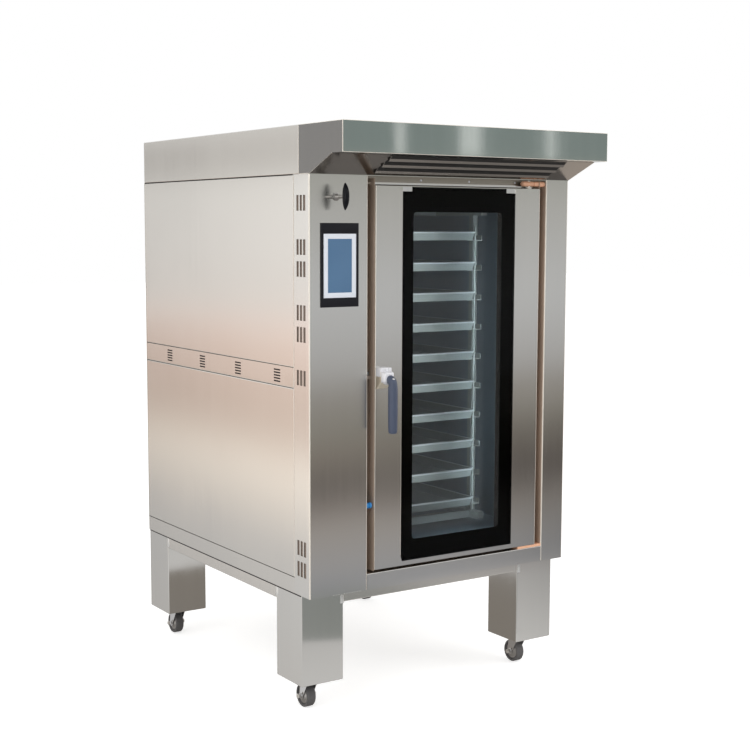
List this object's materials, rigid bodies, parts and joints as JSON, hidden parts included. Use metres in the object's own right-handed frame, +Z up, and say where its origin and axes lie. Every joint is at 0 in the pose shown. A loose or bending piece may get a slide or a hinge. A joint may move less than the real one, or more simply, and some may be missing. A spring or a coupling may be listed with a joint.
{
  "type": "rotating rack oven",
  "caption": "Tall rack oven on a castered stand: glazed hinged door with hanging handle, touch panel, louvred hood, rotating tray rack, fan and flue damper.",
  "frame": {"origin": "on the floor under the middle of the outer box, hood included", "axes": "+X to the right seen from the front, the door faces -Y, +Z up"},
  "size_m": [1, 1.35, 1.81],
  "materials": {
    "steel_panel": "fine brushed, satin",
    "steel_front": "fine brushed, satin",
    "steel_inside": "satin",
    "steel_bright": "bright annealed, near mirror",
    "tray_aluminium": "satin",
    "chrome_plate": "polished",
    "brass_bar": "turned, satin",
    "door_glass": "clear",
    "glass_print": "gloss",
    "screen_glass": "gloss",
    "black_plastic": "semi-gloss",
    "grip_plastic": "satin",
    "seal_rubber": "matt",
    "wheel_rubber": "matt",
    "mineral_wool": "matt, fibrous",
    "motor_paint": "semi-gloss",
    "blue_plastic": "gloss",
    "copper_pipe": "satin"
  },
  "bodies": {
    "cabinet": {"stand_legs": "steel_front", "stand_rails": "steel_front", "caster_plates": "chrome_plate", "base_tray": "steel_panel", "control_column": "steel_front", "right_column": "steel_front", "front_sill": "steel_front", "header_rail": "steel_front", "front_frame": "steel_inside", "side_panels_left": "steel_panel", "vent_strip_left": "steel_panel", "side_panels_right": "steel_panel", "back_panel": "steel_panel", "roof_panel": "steel_panel", "roof_band": "steel_panel", "hood_canopy": "steel_front", "hood_louver_panel": "steel_bright", "chamber_walls": "steel_inside", "fan_baffle": "steel_inside", "insulation_slabs": "mineral_wool", "screen_bezel": "black_plastic", "screen_display": "screen_glass", "flue_pipe": "steel_inside", "rack_gearmotor": "motor_paint", "fan_motor": "motor_paint", "heater_coils": "steel_inside", "water_line": "copper_pipe", "hinge_brackets": "brass_bar", "latch_keeper": "steel_inside", "hose_fitting": "blue_plastic", "rack_floor_bearing": "steel_inside", "panel_screws": "steel_inside", "control_box": "motor_paint", "cable_gland": "black_plastic"},
    "door": {"door_frame": "steel_front", "outer_glass": "door_glass", "glass_border": "glass_print", "inner_glass": "door_glass", "door_gasket": "seal_rubber", "glass_clips": "steel_bright", "handle_base": "steel_panel"},
    "door_handle": {"handle_lever": "chrome_plate", "handle_grip": "grip_plastic"},
    "damper": {"damper_handle": "black_plastic", "damper_flap": "steel_inside"},
    "rack": {"rack_base": "steel_inside", "rack_uprights": "steel_inside", "tray_runners": "steel_inside", "rack_head": "steel_inside", "baking_trays": "tray_aluminium"},
    "fan": {"fan_wheel": "steel_inside"},
    "caster_fl": {"caster_fork_fl": "chrome_plate"},
    "wheel_fl": {"caster_wheel_fl": "wheel_rubber"},
    "caster_fr": {"caster_fork_fr": "chrome_plate"},
    "wheel_fr": {"caster_wheel_fr": "wheel_rubber"},
    "caster_rl": {"caster_fork_rl": "chrome_plate"},
    "wheel_rl": {"caster_wheel_rl": "wheel_rubber"},
    "caster_rr": {"caster_fork_rr": "chrome_plate"},
    "wheel_rr": {"caster_wheel_rr": "wheel_rubber"}
  },
  "joints": [
    {"name": "door_hinge", "type": "hinge", "parent": "cabinet", "child": "door", "pos_m": [0.343, -0.475, 1.043], "axis": [0, 0, 1], "range_deg": [0, 110]},
    {"name": "handle_turn", "type": "hinge", "parent": "door", "child": "door_handle", "pos_m": [-0.245, -0.5, 1.05], "axis": [0, -1, 0], "range_deg": [0, 90]},
    {"name": "damper_turn", "type": "hinge", "parent": "cabinet", "child": "damper", "pos_m": [-0.407, -0.33, 1.599], "axis": [0, 1, 0], "range_deg": [0, 90]},
    {"name": "rack_spin", "type": "hinge", "parent": "cabinet", "child": "rack", "pos_m": [0.057, -0.01, 0.51], "axis": [0, 0, 1], "continuous": true},
    {"name": "fan_spin", "type": "hinge", "parent": "cabinet", "child": "fan", "pos_m": [0.057, 0.48, 1.04], "axis": [0, 1, 0], "continuous": true},
    {"name": "caster_swivel_fl", "type": "hinge", "parent": "cabinet", "child": "caster_fl", "pos_m": [-0.423, -0.36, 0.093], "axis": [0, 0, 1], "continuous": true},
    {"name": "wheel_roll_fl", "type": "hinge", "parent": "caster_fl", "child": "wheel_fl", "pos_m": [-0.423, -0.336, 0.0375], "axis": [1, 0, 0], "continuous": true},
    {"name": "caster_swivel_fr", "type": "hinge", "parent": "cabinet", "child": "caster_fr", "pos_m": [0.423, -0.36, 0.093], "axis": [0, 0, 1], "continuous": true},
    {"name": "wheel_roll_fr", "type": "hinge", "parent": "caster_fr", "child": "wheel_fr", "pos_m": [0.423, -0.336, 0.0375], "axis": [1, 0, 0], "continuous": true},
    {"name": "caster_swivel_rl", "type": "hinge", "parent": "cabinet", "child": "caster_rl", "pos_m": [-0.423, 0.595, 0.093], "axis": [0, 0, 1], "continuous": true},
    {"name": "wheel_roll_rl", "type": "hinge", "parent": "caster_rl", "child": "wheel_rl", "pos_m": [-0.423, 0.619, 0.0375], "axis": [1, 0, 0], "continuous": true},
    {"name": "caster_swivel_rr", "type": "hinge", "parent": "cabinet", "child": "caster_rr", "pos_m": [0.423, 0.595, 0.093], "axis": [0, 0, 1], "continuous": true},
    {"name": "wheel_roll_rr", "type": "hinge", "parent": "caster_rr", "child": "wheel_rr", "pos_m": [0.423, 0.619, 0.0375], "axis": [1, 0, 0], "continuous": true}
  ]
}
